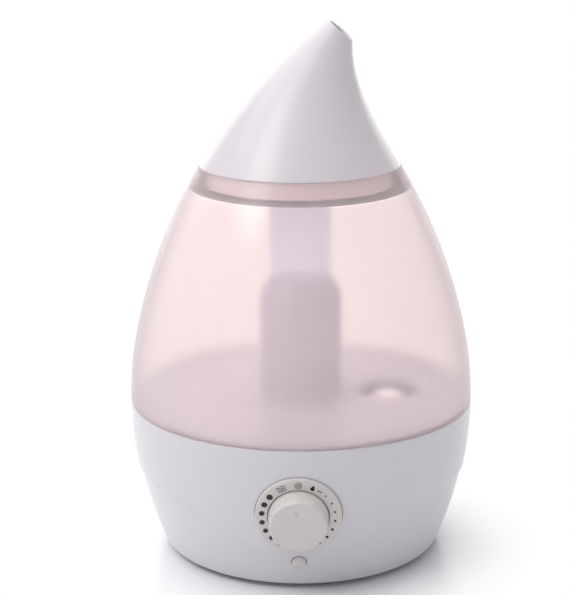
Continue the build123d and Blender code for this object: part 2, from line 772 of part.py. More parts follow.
export_step(tank_shell.part, "parts/tank_shell.step")

with BuildPart() as tank_floor:
    with Locations((0, 0, floor_low)):
        Cylinder(tank_radius(floor_low, tank_wall) - 0.1, floor_high - floor_low, align=upright)
    # ring that drops inside the casing and stands on the deck
    with Locations((0, 0, deck_high)):
        Cylinder(100.6, floor_low - deck_high, align=upright)
        Cylinder(98.4, floor_low - deck_high, align=upright, mode=Mode.SUBTRACT)
    # wide mist sleeve, and the throat that narrows to the tube
    with Locations((0, 0, floor_high)):
        Cylinder(sleeve_radius, sleeve_top - floor_high, align=upright)
    with BuildSketch(Plane.XY.offset(sleeve_top)):
        Circle(sleeve_radius)
    with BuildSketch(Plane.XY.offset(sleeve_top + 8)):
        Circle(tube_radius + 1.8)
    loft()
    with Locations((0, 0, floor_low)):
        Cylinder(sleeve_radius - tube_wall, sleeve_top - floor_low, align=upright, mode=Mode.SUBTRACT)
        Cylinder(tube_radius + 0.1, 90, align=upright, mode=Mode.SUBTRACT)
    # filler neck
    with Locations((neck_x, 0, floor_low)):
        Cylinder(neck_radius, 12.2, align=hanging)
        Cylinder(neck_radius - 2.8, 12.2, align=hanging, mode=Mode.SUBTRACT)
        Cylinder(neck_radius - 2.8, 5, align=upright, mode=Mode.SUBTRACT)
tank_floor.part.label = "tank_floor"
export_step(tank_floor.part, "parts/tank_floor.step")

with BuildPart() as mist_tube:
    with Locations((0, 0, tube_low)):
        Cylinder(tube_radius, cup_floor + 2 - tube_low, align=upright)
        Cylinder(tube_radius - tube_wall, cup_floor + 2 - tube_low, align=upright, mode=Mode.SUBTRACT)
mist_tube.part.label = "mist_tube"
export_step(mist_tube.part, "parts/mist_tube.step")

# ---- Tank cap with its valve ----
with BuildPart() as tank_cap:
    with Locations((neck_x, 0, cap_low)):
        Cylinder(24.4, 14.5, align=upright)
        with PolarLocations(24.9, 24):
            Cylinder(1.2, 14.5, align=upright, mode=Mode.SUBTRACT)
        with Locations((0, 0, 2.5)):
            Cylinder(neck_radius + 0.3, 14.5, align=upright, mode=Mode.SUBTRACT)
        Cylinder(11, cap_ceiling - cap_low, align=upright)
        Cylinder(9, cap_ceiling - cap_low - 2, align=upright, mode=Mode.SUBTRACT)
        # guide for the valve stem, and the water's way round it
        Cylinder(2.85, 10, align=upright, mode=Mode.SUBTRACT)
        with PolarLocations(6, 5):
            Cylinder(1.9, 10, align=upright, mode=Mode.SUBTRACT)
tank_cap.part.label = "tank_cap"
export_step(tank_cap.part, "parts/tank_cap.step")

with BuildPart() as cap_gasket:
    with Locations((neck_x, 0, cap_low + 2.5)):
        Cylinder(neck_radius, 1.5, align=upright)
        Cylinder(neck_radius - 2.8, 1.5, align=upright, mode=Mode.SUBTRACT)
cap_gasket.part.label = "cap_gasket"
export_step(cap_gasket.part, "parts/cap_gasket.step")

valve_open = cap_ceiling + valve_travel  # the seal's underside while the tank stands on the base
with BuildPart() as valve_plunger:
    with Locations((neck_x, 0, pin_top)):
        Cylinder(4.4, 1.3, align=upright)
        Cylinder(2.5, valve_open + 3 - pin_top, align=upright)
    with Locations((neck_x, 0, valve_open + 1.6)):
        Cylinder(8, 1.4, align=upright)
valve_plunger.part.label = "valve_plunger"
export_step(valve_plunger.part, "parts/valve_plunger.step")

with BuildPart() as valve_seal:
    with Locations((neck_x, 0, valve_open)):
        Cylinder(9.6, 1.6, align=upright)
        Cylinder(2.5, 1.6, align=upright, mode=Mode.SUBTRACT)
valve_seal.part.label = "valve_seal"
export_step(valve_seal.part, "parts/valve_seal.step")

with BuildPart() as valve_spring:
    with BuildLine(Plane((neck_x, 0, pin_top + 1.75))):
        coil = Helix(pitch=1.6, height=4.8, radius=3.5)
    with BuildSketch(Plane(origin=coil @ 0, z_dir=coil % 0)):
        Circle(0.4)
    sweep(path=coil)
valve_spring.part.label = "valve_spring"
export_step(valve_spring.part, "parts/valve_spring.step")

# ---- Nozzle seat and nozzle ----
with BuildPart() as nozzle_seat:
    with Locations((0, 0, seat_low)):
        Cylinder(cup_radius - 0.4, nozzle_low - seat_low, align=upright)
    with Locations((0, 0, nozzle_low)):
        Cylinder(nozzle_bore - 0.3, 4, align=upright)
    with Locations((0, 0, seat_low + 2)):
        Cylinder(nozzle_bore - 2, 20, align=upright, mode=Mode.SUBTRACT)
    # groove from below, which leaves a thin skirt outside and the ring's wall inside
    with BuildSketch(Plane.XY.offset(seat_low)):
        Circle(cup_radius - 2.2)
        Circle(nozzle_bore - 0.3, mode=Mode.SUBTRACT)
    extrude(amount=nozzle_low - 2 - seat_low, mode=Mode.SUBTRACT)
    # drip collar round the mist's way up
    with Locations((0, 0, seat_low)):
        Cylinder(23, 8, align=upright)
        Cylinder(21, 8, align=upright, mode=Mode.SUBTRACT)
nozzle_seat.part.label = "nozzle_seat"
export_step(nozzle_seat.part, "parts/nozzle_seat.step")

outlet_lean = math.radians(41)
outlet = Plane(origin=(23.4, 0, 318.5), z_dir=(math.sin(outlet_lean), 0, math.cos(outlet_lean)))
section_heights = [nozzle_low + step * (nozzle_high + 3 - nozzle_low) / 8 for step in range(9)]
with BuildPart() as nozzle_space:
    for z in section_heights:
        centre, radius = nozzle_section(z)
        with BuildSketch(Plane.XY.offset(z)):
            with Locations((centre, 0)):
                Circle(radius - nozzle_wall)
    loft()

with BuildPart() as nozzle:
    for z in section_heights:
        centre, radius = nozzle_section(z)
        with BuildSketch(Plane.XY.offset(z)):
            with Locations((centre, 0)):
                Circle(radius)
    loft()
    # the outlet's slanted face at the tip
    split(bisect_by=outlet, keep=Keep.BOTTOM)
    fillet(nozzle.faces().sort_by(Axis(outlet.origin, outlet.z_dir))[-1].edges(), radius=0.9)
    add(nozzle_space.part, mode=Mode.SUBTRACT)
    # ring that turns on the seat
    with Locations((0, 0, nozzle_low)):
        Cylinder(mouth_radius - 2.5, 2.4, align=upright)
        Cylinder(nozzle_bore, 2.4, align=upright, mode=Mode.SUBTRACT)
nozzle.part.label = "nozzle"
export_step(nozzle.part, "parts/nozzle.step")
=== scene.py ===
# Looks of the drop-shaped cool mist humidifier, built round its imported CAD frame.
import json
import math

import bmesh
import bpy
from mathutils import Matrix, Vector


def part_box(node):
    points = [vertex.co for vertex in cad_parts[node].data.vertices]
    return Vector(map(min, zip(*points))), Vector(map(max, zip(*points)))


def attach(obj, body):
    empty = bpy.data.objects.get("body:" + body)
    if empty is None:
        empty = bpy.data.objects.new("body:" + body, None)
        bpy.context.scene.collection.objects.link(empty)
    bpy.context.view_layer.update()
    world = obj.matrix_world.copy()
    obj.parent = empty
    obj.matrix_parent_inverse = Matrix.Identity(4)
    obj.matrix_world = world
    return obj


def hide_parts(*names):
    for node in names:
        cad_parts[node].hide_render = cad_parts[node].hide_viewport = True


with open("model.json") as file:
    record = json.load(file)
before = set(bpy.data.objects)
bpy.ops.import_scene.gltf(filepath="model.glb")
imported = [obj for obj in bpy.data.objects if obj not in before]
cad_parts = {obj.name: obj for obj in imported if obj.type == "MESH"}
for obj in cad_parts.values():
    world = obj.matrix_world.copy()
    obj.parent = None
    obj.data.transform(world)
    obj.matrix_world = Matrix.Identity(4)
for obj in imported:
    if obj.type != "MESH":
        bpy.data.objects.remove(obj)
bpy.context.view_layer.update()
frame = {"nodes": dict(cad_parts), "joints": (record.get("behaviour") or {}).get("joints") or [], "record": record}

scene = bpy.context.scene
mm = 0.001
turn = 2 * math.pi


def linearColour(code):
    # sRGB hex to the linear colour a shader wants
    channels = [int(code[place:place + 2], 16) / 255 for place in (1, 3, 5)]
    return tuple(c / 12.92 if c <= 0.04045 else ((c + 0.055) / 1.055) ** 2.4 for c in channels) + (1.0,)


def addNode(tree, kind, settings=None, links=None):
    node = tree.nodes.new(kind)
    for name, value in (settings or {}).items():
        if isinstance(name, int) or name in node.inputs:
            node.inputs[name].default_value = value
        else:
            setattr(node, name, value)
    for name, socket in (links or {}).items():
        tree.links.new(socket, node.inputs[name])
    return node


def patternScale(sizeMm):
    # noise scale that gives features of this size on coordinates in metres
    return 1 / (sizeMm * mm)


def startMaterial(name, settings):
    material = bpy.data.materials.new(name)
    material.use_nodes = True
    tree = material.node_tree
    tree.nodes.clear()
    shader = addNode(tree, "ShaderNodeBsdfPrincipled", settings)
    addNode(tree, "ShaderNodeOutputMaterial", links={"Surface": shader.outputs[0]})
    place = addNode(tree, "ShaderNodeTexCoord").outputs["Object"]
    return material, tree, shader, place


def mouldedPlastic(name, look):
    # injection-moulded plastic: tone drifts with the flow, the skin has a fine grain and long ripples
    material, tree, shader, place = startMaterial(name, {
        "IOR": look.get("ior", 1.53),
        "Specular IOR Level": look.get("shine", 0.5),
        "Subsurface Weight": look.get("glow", 0.0),
        "Subsurface Radius": (1.0, 0.7, 0.6),
        "Subsurface Scale": 3 * mm,
    })
    flow = addNode(tree, "ShaderNodeTexNoise", {"Scale": patternScale(look["flowMm"]), "Detail": 2.0},
                   {"Vector": place})
    tone = addNode(tree, "ShaderNodeMix",
                   {"data_type": "RGBA", 6: linearColour(look["colour"]), 7: linearColour(look["shade"])},
                   {0: flow.outputs["Fac"]})
    tree.links.new(tone.outputs[2], shader.inputs["Base Color"])
    grain = addNode(tree, "ShaderNodeTexNoise", {"Scale": patternScale(look["grainMm"]), "Detail": 3.0},
                    {"Vector": place})
    low, high = look["roughness"]
    rough = addNode(tree, "ShaderNodeMapRange",
                    {"From Min": 0.3, "From Max": 0.7, "To Min": low, "To Max": high},
                    {"Value": grain.outputs["Fac"]})
    tree.links.new(rough.outputs["Result"], shader.inputs["Roughness"])
    ripple = addNode(tree, "ShaderNodeTexNoise", {"Scale": patternScale(look["rippleMm"]), "Detail": 1.0},
                     {"Vector": place})
    longBump = addNode(tree, "ShaderNodeBump", {"Strength": 0.25, "Distance": look["rippleDepthMm"] * mm},
                       {"Height": ripple.outputs["Fac"]})
    fineBump = addNode(tree, "ShaderNodeBump", {"Strength": 0.5, "Distance": look["grainDepthMm"] * mm},
                       {"Height": grain.outputs["Fac"], "Normal": longBump.outputs["Normal"]})
    tree.links.new(fineBump.outputs["Normal"], shader.inputs["Normal"])
    return material


def translucentPlastic(name, look):
    # see-through wall: part of the light passes, part scatters as in thin milk, and the skin keeps a
    # soft shine; rim makes it milkier towards the edges, where the way through the wall is longer
    material, tree, shader, place = startMaterial(name, {
        "IOR": 1.5, "Roughness": look["roughness"], "Specular IOR Level": 0.2,
    })
    flow = addNode(tree, "ShaderNodeTexNoise", {"Scale": patternScale(look["flowMm"]), "Detail": 1.5},
                   {"Vector": place})
    tone = addNode(tree, "ShaderNodeMix",
                   {"data_type": "RGBA", 6: linearColour(look["colour"]), 7: linearColour(look["shade"])},
                   {0: flow.outputs["Fac"]})
    tree.links.new(tone.outputs[2], shader.inputs["Base Color"])
    glow = addNode(tree, "ShaderNodeBsdfTranslucent", {"Color": linearColour(look["glow"])})
    clear = addNode(tree, "ShaderNodeBsdfTransparent", {"Color": linearColour(look["tint"])})
    if "frost" in look:
        # frosted wall: blurs what stands behind it, and lets the lamps' own light straight through
        blur = addNode(tree, "ShaderNodeBsdfRefraction",
                       {"Color": linearColour(look["tint"]), "Roughness": look["frost"],
                        "IOR": look["bend"]})
        ray = addNode(tree, "ShaderNodeLightPath")
        clear = addNode(tree, "ShaderNodeMixShader",
                        links={0: ray.outputs["Is Shadow Ray"], 1: blur.outputs[0], 2: clear.outputs[0]})
    milk = addNode(tree, "ShaderNodeMixShader", {0: look["milk"]},
                   {1: shader.outputs[0], 2: glow.outputs[0]})
    slant = addNode(tree, "ShaderNodeLayerWeight", {"Blend": 0.5})
    rim = addNode(tree, "ShaderNodeMath", {"operation": "POWER", 1: 3.0}, {0: slant.outputs["Facing"]})
    density = addNode(tree, "ShaderNodeMapRange",
                      {"To Min": look["body"], "To Max": look.get("rim", look["body"])},
                      {"Value": rim.outputs[0]})
    wall = addNode(tree, "ShaderNodeMixShader",
                   links={0: density.outputs["Result"], 1: clear.outputs[0], 2: milk.outputs[0]})
    mirror = addNode(tree, "ShaderNodeBsdfGlossy", {"Roughness": look["skin"], "Color": (1, 1, 1, 1)})
    steep = addNode(tree, "ShaderNodeMath", {"operation": "POWER", 1: 5.0}, {0: slant.outputs["Facing"]})
    share = addNode(tree, "ShaderNodeMapRange", {"To Min": look["headOn"], "To Max": look["grazing"]},
                    {"Value": steep.outputs[0]})
    skin = addNode(tree, "ShaderNodeMixShader",
                   links={0: share.outputs["Result"], 1: wall.outputs[0], 2: mirror.outputs[0]})
    tree.links.new(skin.outputs[0], tree.nodes["Material Output"].inputs["Surface"])
    return material


def machinedMetal(name, look):
    # plated or cast metal: a bright skin with short scratches and patches of duller plating
    material, tree, shader, place = startMaterial(name, {
        "Metallic": 1.0,
        "Base Color": linearColour(look["colour"]),
        "Anisotropic": look.get("brushed", 0.0),
    })
    patches = addNode(tree, "ShaderNodeTexNoise", {"Scale": patternScale(look["patchMm"]), "Detail": 4.0},
                      {"Vector": place})
    low, high = look["roughness"]
    rough = addNode(tree, "ShaderNodeMapRange",
                    {"From Min": 0.3, "From Max": 0.7, "To Min": low, "To Max": high},
                    {"Value": patches.outputs["Fac"]})
    tree.links.new(rough.outputs["Result"], shader.inputs["Roughness"])
    bump = addNode(tree, "ShaderNodeBump", {"Strength": 0.4, "Distance": 0.02 * mm},
                   {"Height": patches.outputs["Fac"]})
    tree.links.new(bump.outputs["Normal"], shader.inputs["Normal"])
    return material


def openFoam(name, look):
    # reticulated polyurethane foam: dark cells with lit struts between them
    material, tree, shader, place = startMaterial(name, {"Roughness": 0.95, "Specular IOR Level": 0.1})
    cells = addNode(tree, "ShaderNodeTexVoronoi",
                    {"Scale": patternScale(look["cellMm"]), "feature": "DISTANCE_TO_EDGE"},
                    {"Vector": place})
    strut = addNode(tree, "ShaderNodeMapRange",
                    {"From Min": 0.0, "From Max": 0.12, "To Min": 1.0, "To Max": 0.0},
                    {"Value": cells.outputs["Distance"]})
    tone = addNode(tree, "ShaderNodeMix",
                   {"data_type": "RGBA", 6: linearColour(look["colour"]), 7: linearColour(look["shade"])},
                   {0: strut.outputs["Result"]})
    tree.links.new(tone.outputs[2], shader.inputs["Base Color"])
    bump = addNode(tree, "ShaderNodeBump", {"Strength": 1.0, "Distance": 0.4 * mm},
                   {"Height": strut.outputs["Result"]})
    tree.links.new(bump.outputs["Normal"], shader.inputs["Normal"])
    return material


def solderMask(name, look):
    # glass-epoxy board under green lacquer, with copper tracks that show as lighter lanes
    material, tree, shader, place = startMaterial(name, {"Roughness": 0.35, "Coat Weight": 0.3})
    lanes = addNode(tree, "ShaderNodeTexBrick", {
        "Scale": patternScale(look["laneMm"]), "Mortar Size": 0.06, "Color1": linearColour(look["colour"]),
        "Color2": linearColour(look["shade"]), "Mortar": linearColour(look["track"]),
    }, {"Vector": place})
    tree.links.new(lanes.outputs["Color"], shader.inputs["Base Color"])
    bump = addNode(tree, "ShaderNodeBump", {"Strength": 0.3, "Distance": 0.04 * mm},
                   {"Height": lanes.outputs["Fac"]})
    tree.links.new(bump.outputs["Normal"], shader.inputs["Normal"])
    return material


def studioFloor(name, look):
    # seamless pale board with a faint polish; away from the object a painted white glow, seen only by the camera
    # and through the tank, covers the board and the object's shadow on it
    material, tree, shader, place = startMaterial(name, {
        "Base Color": linearColour(look["colour"]),
        "Specular IOR Level": look["shine"],
    })
    haze = addNode(tree, "ShaderNodeTexNoise", {"Scale": patternScale(look["hazeMm"]), "Detail": 2.0},
                   {"Vector": place})
    low, high = look["roughness"]
    rough = addNode(tree, "ShaderNodeMapRange", {"To Min": low, "To Max": high},
                    {"Value": haze.outputs["Fac"]})
    tree.links.new(rough.outputs["Result"], shader.inputs["Roughness"])
    reach = addNode(tree, "ShaderNodeVectorMath", {"operation": "LENGTH"}, {0: place})
    near, far = look["fade"]
    fade = addNode(tree, "ShaderNodeMapRange",
                   {"interpolation_type": "SMOOTHSTEP", "From Min": near, "From Max": far},
                   {"Value": reach.outputs["Value"]})
    ray = addNode(tree, "ShaderNodeLightPath")
    seen = addNode(tree, "ShaderNodeMath", {"operation": "MAXIMUM"},
                   {0: ray.outputs["Is Camera Ray"], 1: ray.outputs["Is Transmission Ray"]})
    share = addNode(tree, "ShaderNodeMath", {"operation": "MULTIPLY"},
                    {0: fade.outputs["Result"], 1: seen.outputs[0]})
    # painted light: a white emission that stands in for light on the floor and wipes out the object's shadow
    # beyond the fade
    paintedGlow = addNode(tree, "ShaderNodeEmission", {"Color": (1, 1, 1, 1), "Strength": 1.0})
    mix = addNode(tree, "ShaderNodeMixShader",
                  links={0: share.outputs[0], 1: shader.outputs[0], 2: paintedGlow.outputs[0]})
    tree.links.new(mix.outputs[0], tree.nodes["Material Output"].inputs["Surface"])
    return material


print("stage: materials")
finishes = {
    # semi-gloss ABS from a polished mould
    "casing_plastic": mouldedPlastic("casingAbsSatin", {
        "colour": "#dfdde2", "shade": "#dad8de", "roughness": (0.27, 0.34), "flowMm": 60, "grainMm": 0.5,
        "grainDepthMm": 0.006, "rippleMm": 14, "rippleDepthMm": 0.05, "glow": 0.05}),
    # pearl ABS of the nozzle, a shade warmer and a little glossier
    "nozzle_plastic": mouldedPlastic("nozzleAbsPearl", {
        "colour": "#e0d9df", "shade": "#dbd4da", "roughness": (0.20, 0.27), "flowMm": 45, "grainMm": 0.6,
        "grainDepthMm": 0.004, "rippleMm": 18, "rippleDepthMm": 0.05, "glow": 0.05}),
    # rose-white styrene of the tank
    "tank_plastic": translucentPlastic("tankStyreneRose", {
        "colour": "#fbf7f8", "shade": "#f8f3f4", "glow": "#fcf8f8", "tint": "#fdf7f6", "flowMm": 70,
        "roughness": 0.3, "body": 0.22, "milk": 0.75, "skin": 0.17, "headOn": 0.03, "grazing": 0.3,
        "frost": 0.32, "bend": 1.15,
        "rim": 0.9}),
    # plain white ABS of the deck, tank cap and float
    "deck_plastic": mouldedPlastic("deckAbsWhite", {
        "colour": "#eeedf1", "shade": "#e8e7ec", "roughness": (0.3, 0.4), "flowMm": 40, "grainMm": 0.4,
        "grainDepthMm": 0.006, "rippleMm": 10, "rippleDepthMm": 0.04}),
    # spark-eroded underside
    "plate_plastic": mouldedPlastic("plateAbsTextured", {
        "colour": "#dcdbdf", "shade": "#d2d1d6", "roughness": (0.5, 0.62), "flowMm": 30, "grainMm": 0.8,
        "grainDepthMm": 0.04, "rippleMm": 12, "rippleDepthMm": 0.03}),
    # warm white ABS of the dial, knob and button
    "dial_plastic": mouldedPlastic("dialAbsWarm", {
        "colour": "#dbd6d4", "shade": "#d6d0cf", "roughness": (0.26, 0.34), "flowMm": 25, "grainMm": 0.4,
        "grainDepthMm": 0.004, "rippleMm": 9, "rippleDepthMm": 0.03}),
    # clear acrylic, a little smoky in its depth
    "clear_lens": translucentPlastic("lensAcrylicClear", {
        "colour": "#cbc8b8", "shade": "#d4d1c2", "glow": "#e4e1d2", "tint": "#ece9da", "flowMm": 3,
        "roughness": 0.15, "body": 0.75, "milk": 0.3, "skin": 0.03, "headOn": 0.05, "grazing": 0.7}),
    # black nitrile with bloom
    "soft_rubber": mouldedPlastic("sealRubberBlack", {
        "colour": "#2b2b2c", "shade": "#343436", "roughness": (0.62, 0.78), "flowMm": 12, "grainMm": 0.5,
        "grainDepthMm": 0.03, "rippleMm": 5, "rippleDepthMm": 0.03, "shine": 0.35}),
    "zinc_steel": machinedMetal("screwSteelZinc", {
        "colour": "#c3c6ca", "patchMm": 1.2, "roughness": (0.22, 0.4), "brushed": 0.3}),
    "cast_aluminium": machinedMetal("sinkAluminiumExtruded", {
        "colour": "#cfd1d4", "patchMm": 0.9, "roughness": (0.35, 0.5), "brushed": 0.4}),
    "filter_foam": openFoam("filterFoamReticulated",
                            {"colour": "#222326", "shade": "#4a4c50", "cellMm": 1.4}),
    "transducer_ceramic": mouldedPlastic("discCeramicPlated", {
        "colour": "#c9bfa6", "shade": "#d6ceb8", "roughness": (0.22, 0.35), "flowMm": 6, "grainMm": 0.3,
        "grainDepthMm": 0.01, "rippleMm": 4, "rippleDepthMm": 0.02, "ior": 1.8, "shine": 0.8}),
    "reed_glass": translucentPlastic("reedGlassTube", {
        "colour": "#b9cfc8", "shade": "#c9dcd6", "glow": "#d9ece6", "tint": "#d6ebe4", "flowMm": 2,
        "roughness": 0.1, "body": 0.35, "milk": 0.3, "skin": 0.02, "headOn": 0.05, "grazing": 0.8}),
    "fan_plastic": mouldedPlastic("fanPbtBlack", {
        "colour": "#1c1c1e", "shade": "#232326", "roughness": (0.34, 0.46), "flowMm": 15, "grainMm": 0.5,
        "grainDepthMm": 0.02, "rippleMm": 6, "rippleDepthMm": 0.03}),
    "duct_plastic": mouldedPlastic("ductPolypropyleneNatural", {
        "colour": "#dcdcd8", "shade": "#d0d0cb", "roughness": (0.4, 0.5), "flowMm": 20, "grainMm": 0.6,
        "grainDepthMm": 0.01, "rippleMm": 8, "rippleDepthMm": 0.03, "glow": 0.2}),
    "circuit_board": solderMask("boardEpoxyGreen", {
        "colour": "#15562c", "shade": "#1a5f33", "track": "#2c7a45", "laneMm": 4}),
    "switch_plastic": mouldedPlastic("jackNylonBlack", {
        "colour": "#19191a", "shade": "#202022", "roughness": (0.4, 0.52), "flowMm": 8, "grainMm": 0.4,
        "grainDepthMm": 0.02, "rippleMm": 4, "rippleDepthMm": 0.02}),
    "float_plastic": mouldedPlastic("floatPolypropyleneWhite", {
        "colour": "#f0f0f1", "shade": "#e9e9ea", "roughness": (0.36, 0.46), "flowMm": 10, "grainMm": 0.4,
        "grainDepthMm": 0.01, "rippleMm": 5, "rippleDepthMm": 0.02, "glow": 0.1}),
    "magnet_ferrite": mouldedPlastic("magnetFerriteSintered", {
        "colour": "#2a2a2c", "shade": "#343437", "roughness": (0.5, 0.7), "flowMm": 4, "grainMm": 0.3,
        "grainDepthMm": 0.02, "rippleMm": 3, "rippleDepthMm": 0.02, "ior": 1.9}),
}
# the sleeve and tube inside the tank are the same styrene, thicker and so denser
sleeveStyrene = translucentPlastic("sleeveStyreneDense", {
    "colour": "#f6f8ff", "shade": "#f1f3fb", "glow": "#f8faff", "tint": "#f8f9ff", "flowMm": 40,
    "roughness": 0.35, "body": 0.3, "milk": 0.6, "skin": 0.2, "headOn": 0.03, "grazing": 0.3})
# the tank's floor is thicker still, so the neck and valve under it hardly show; its colour is darkened to a cool
# grey as painted shade and painted reflection, standing for the shade and the base's reflection low in the tank
shadedFloorStyrene = translucentPlastic("floorStyreneDenseShaded", {
    "colour": "#d9d9e2", "shade": "#d4d4dd", "glow": "#e2e2ea", "tint": "#e8e8ef", "flowMm": 30,
    "roughness": 0.4, "body": 0.72, "milk": 0.4, "skin": 0.22, "headOn": 0.03, "grazing": 0.25})
# cured screen-print ink on the dial
scaleInk = mouldedPlastic("scaleInkBlack", {
    "colour": "#1b1a1c", "shade": "#232224", "roughness": (0.4, 0.55), "flowMm": 2, "grainMm": 0.2,
    "grainDepthMm": 0.01, "rippleMm": 1, "rippleDepthMm": 0.01})

slotOf = {part["node"]: part["material_slot"] for part in frame["record"]["subparts"]}
for nodeName, node in frame["nodes"].items():
    node.data.materials.clear()
    node.data.materials.append(finishes[slotOf[nodeName]])
# seals that touch the water are undyed silicone, milky and soft to the eye
sealSilicone = mouldedPlastic("sealSiliconeMilky", {
    "colour": "#e6e4e4", "shade": "#dedcdc", "roughness": (0.42, 0.55), "flowMm": 12, "grainMm": 0.5,
    "grainDepthMm": 0.02, "rippleMm": 5, "rippleDepthMm": 0.03, "glow": 0.3, "ior": 1.41})
for nodeName in ("cap_gasket", "valve_seal", "transducer_seal"):
    frame["nodes"][nodeName].data.materials[0] = sealSilicone


def arcAt(low, high, count, radiusAt):
    # (radius, height) points up a side whose radius is a formula of its height
    return [(radiusAt(low + (high - low) * step / count), low + (high - low) * step / count)
            for step in range(count + 1)]


def roundedOutline(corners, steps=5):
    # corners are (r, z), or (r, z, fillet) where the mould has a radius
    outline = []
    for index, corner in enumerate(corners):
        here = Vector(corner[:2])
        if len(corner) < 3:
            outline.append(tuple(here))
            continue
        toBefore = (Vector(corners[index - 1][:2]) - here).normalized()
        toAfter = (Vector(corners[(index + 1) % len(corners)][:2]) - here).normalized()
        half = toBefore.angle(toAfter) / 2
        centre = here + (toBefore + toAfter).normalized() * corner[2] / math.sin(half)
        start = here + toBefore * corner[2] / math.tan(half) - centre
        sweep = -start.angle_signed(here + toAfter * corner[2] / math.tan(half) - centre)
        for step in range(steps + 1):
            outline.append(tuple(centre + Matrix.Rotation(sweep * step / steps, 2) @ start))
    return outline


def spunShape(outline, steps=192):
    # closed (radius, height) outline in mm, spun once round the upright axis
    shape = bmesh.new()
    ring = [shape.verts.new((radius * mm, 0, height * mm)) for radius, height in outline]
    edges = [shape.edges.new(pair) for pair in zip(ring, ring[1:] + ring[:1])]
    bmesh.ops.spin(shape, geom=ring + edges, cent=(0, 0, 0), axis=(0, 0, 1), angle=turn, steps=steps,
                   use_merge=True)
    bmesh.ops.remove_doubles(shape, verts=shape.verts, dist=1e-7)
    bmesh.ops.recalc_face_normals(shape, faces=shape.faces)
    return shape


def drumShape(radius, low, high, place, steps=64):
    # plain round cutter or print, standing from low to high along its place's own axis
    shape = bmesh.new()
    bmesh.ops.create_cone(shape, cap_ends=True, segments=steps, radius1=radius * mm, radius2=radius * mm,
                          depth=(high - low) * mm,
                          matrix=place @ Matrix.Translation((0, 0, (high + low) / 2 * mm)))
    return shape


def linkShape(shape, name):
    mesh = bpy.data.meshes.new(name)
    shape.to_mesh(mesh)
    shape.free()
    piece = bpy.data.objects.new(name, mesh)
    scene.collection.objects.link(piece)
    return piece


def cutWith(piece, cutters):
    # takes the cutters' shapes out of a piece for good
    for cutter in cutters:
        hole = piece.modifiers.new("hole", "BOOLEAN")
        hole.operation = "DIFFERENCE"
        hole.solver = "EXACT"
        hole.object = cutter
    bpy.context.view_layer.update()
    rough = piece.data
    piece.data = bpy.data.meshes.new_from_object(piece.evaluated_get(bpy.context.evaluated_depsgraph_get()))
    piece.modifiers.clear()
    piece.data.name = piece.name
    bpy.data.meshes.remove(rough)
    for cutter in cutters:
        bpy.data.meshes.remove(cutter.data)


def finishPiece(piece, body, material, stoodFor=(), sharpAngle=35):
    piece.data.materials.clear()
    piece.data.materials.append(material)
    piece.data.shade_smooth()
    piece.data.set_sharp_from_angle(angle=math.radians(sharpAngle))
    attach(piece, body)
    if stoodFor:
        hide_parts(*stoodFor)
    return piece


def facingPlace(centre, outward):
    # a place whose own z points out of the object and whose y points up
    across = Vector((1, 0, 0))
    out = Vector(outward).normalized()
    upward = out.cross(across)
    return Matrix.Translation(centre) @ Matrix((across, upward, out)).transposed().to_4x4()


joints = {joint["name"]: joint for joint in frame["joints"]}
dialPlace = facingPlace(joints["knob_turn"]["pos_m"], -Vector(joints["knob_turn"]["axis"]))

# base casing, with the crease that swoops up to its sides
casing = {
    "seamRadius": 105.0, "seamHeight": 93.0, "sideArc": 227.0, "wall": 3.2, "foot": 3.0, "top": 92.6,
    "crease": [(17, 27), (35, 31.6), (55, 44), (70, 50.4), (88, 52)], "creaseStep": 1.2, "creaseSoft": 1.5,
    "creaseRow": 40.0, "rimFillet": 0.6, "footFillet": 1.5, "ledgeRadius": 78.9, "plateRadius": 81.4,
    "deckLow": 83.6, "lipRadius": 96.0, "dialHole": 25.3, "buttonHeight": 20.0, "buttonHole": 4.6,
    "inletHeight": 42.0, "inletHole": 4.2, "inletFlat": 6.0,
}


def casingRadius(height, inset=0.0):
    rise = casing["seamHeight"] - height
    return casing["seamRadius"] - casing["sideArc"] + math.sqrt((casing["sideArc"] - inset) ** 2
                                                                - rise ** 2)


def creaseHeight(across):
    # smooth curve through the crease's points, level at both ends
    points = casing["crease"]
    across = min(max(abs(across), points[0][0]), points[-1][0])
    spans = list(zip(points, points[1:]))
    slopes = [0.0] + [(after[1] - before[1]) / (after[0] - before[0])
                      for before, after in zip(points, points[2:])] + [0.0]
    index = next(index for index, (start, end) in enumerate(spans) if across <= end[0])
    (startX, startZ), (endX, endZ) = spans[index]
    width = endX - startX
    t = (across - startX) / width
    return ((2 * t ** 3 - 3 * t ** 2 + 1) * startZ + (t ** 3 - 2 * t ** 2 + t) * width * slopes[index]
            + (3 * t ** 2 - 2 * t ** 3) * endZ + (t ** 3 - t ** 2) * width * slopes[index + 1])


print("stage: base casing")
softRows = [casing["creaseRow"] + casing["creaseSoft"] * (step / 6 - 0.5) for step in range(7)]
lowRows = [casing["foot"] + (softRows[0] - casing["foot"]) * step / 34 for step in range(34)]
highRows = [softRows[-1] + (casing["top"] - softRows[-1]) * step / 52 for step in range(1, 53)]
footRows = [casing["foot"] + casing["footFillet"] * step / 6 for step in range(6)]
rimRows = [casing["top"] - casing["rimFillet"] * step / 4 for step in range(4)]
outerHeights = sorted(set(footRows + [row for row in lowRows if row > footRows[-1] + 0.2] + softRows
                          + [row for row in highRows if row < rimRows[-1] - 0.2] + rimRows))
innerHeights = [80.9 - (80.9 - 7.6) * step / 20 for step in range(21)]
casingOutline = [(casingRadius(height), height) for height in outerHeights] + [
    (casingRadius(casing["top"], casing["wall"]), casing["top"]),
    (casingRadius(casing["deckLow"], casing["wall"]), casing["deckLow"]),
    (casing["lipRadius"], casing["deckLow"]), (casing["lipRadius"], 81.0),
] + [(casingRadius(height, casing["wall"]), height) for height in innerHeights] + [
    (casing["ledgeRadius"], 7.6), (casing["ledgeRadius"], 5.4),
    (casing["plateRadius"], 5.4), (casing["plateRadius"], casing["foot"]),
]
casingShape = spunShape(casingOutline, 320)
